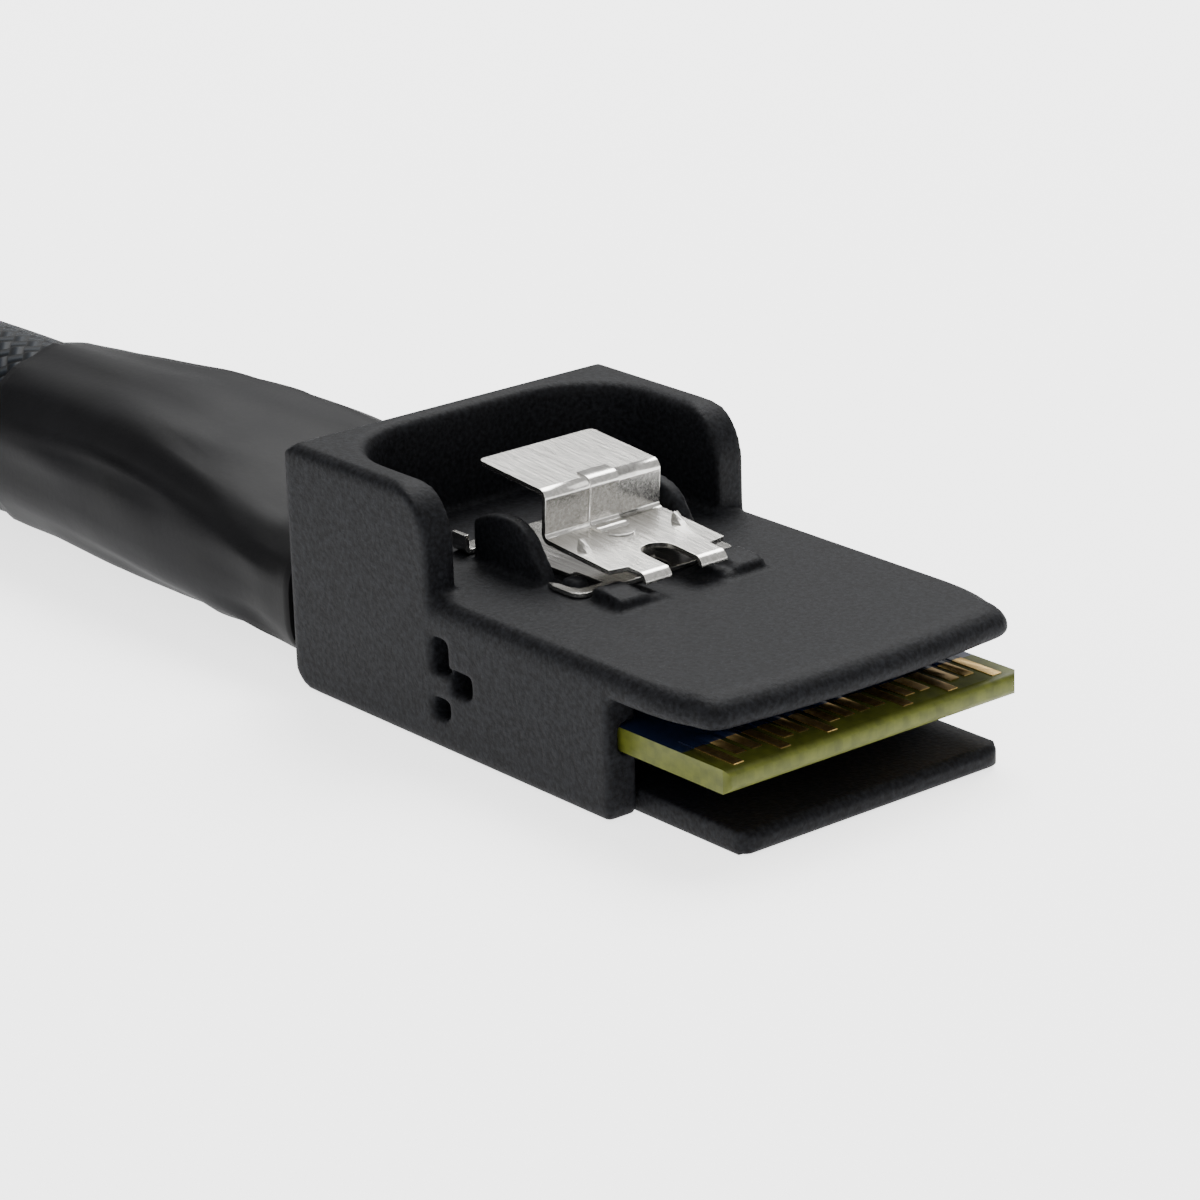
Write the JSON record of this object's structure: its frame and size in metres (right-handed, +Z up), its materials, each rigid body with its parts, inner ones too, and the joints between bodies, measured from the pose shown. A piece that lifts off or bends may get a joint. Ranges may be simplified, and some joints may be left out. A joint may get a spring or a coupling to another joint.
{
  "type": "internal serial data cable",
  "caption": "Internal multi-lane data cable with a latching card-edge plug at each end, joined by one round sleeved cable lying in a tied coil.",
  "frame": {"origin": "middle of the near plug's footprint, on the surface it lies on", "axes": "+X towards the near plug's mating edge, +Z up from its underside to its latch, +Y to its left"},
  "size_m": [0.1323, 0.1189, 0.0207],
  "materials": {
    "shell": "fine spark-eroded grain",
    "steel": "bright rolled strip",
    "card": "glass-fibre board with gold pads",
    "melt": "moulded hot-melt",
    "wire": "smooth jacket over foil",
    "sleeve": "heat-shrunk, slightly wrinkled",
    "braid": "expandable braided sleeve",
    "tie": "hook-and-loop strap"
  },
  "bodies": {
    "plugs_and_cable": {"upper_shell": "shell", "lower_shell": "shell", "paddle_card": "card", "latch_leaf": "steel", "melt_block": "melt", "wire_pair_top_1": "wire", "wire_pair_top_2": "wire", "wire_pair_top_3": "wire", "wire_pair_top_4": "wire", "signal_band_top": "wire", "wire_pair_low_1": "wire", "wire_pair_low_2": "wire", "wire_pair_low_3": "wire", "wire_pair_low_4": "wire", "signal_band_low": "wire", "shrink_sleeve": "sleeve", "cable_tube": "braid", "cable_coil": "braid", "cable_upper": "braid", "coil_tie": "tie", "far_shrink_sleeve": "sleeve", "far_upper_shell": "shell", "far_lower_shell": "shell", "far_paddle_card": "card", "far_latch_leaf": "steel", "far_melt_block": "melt", "far_wire_pair_top_1": "wire", "far_wire_pair_top_2": "wire", "far_wire_pair_top_3": "wire", "far_wire_pair_top_4": "wire", "far_signal_band_top": "wire", "far_wire_pair_low_1": "wire", "far_wire_pair_low_2": "wire", "far_wire_pair_low_3": "wire", "far_wire_pair_low_4": "wire", "far_signal_band_low": "wire"},
    "latch": {"latch_lever": "steel"},
    "far_latch": {"far_latch_lever": "steel"}
  },
  "joints": [
    {"name": "latch_press", "type": "hinge", "parent": "plugs_and_cable", "child": "latch", "pos_m": [0.0022, 0, 0.0071], "axis": [0, -1, 0], "range_deg": [0, 8], "stiffness_Nm_per_rad": 0.3},
    {"name": "far_latch_press", "type": "hinge", "parent": "plugs_and_cable", "child": "far_latch", "pos_m": [-0.07773, -0.09819, 0.0168], "axis": [-0.4848, -0.8746, 0], "range_deg": [0, 8], "stiffness_Nm_per_rad": 0.3}
  ]
}
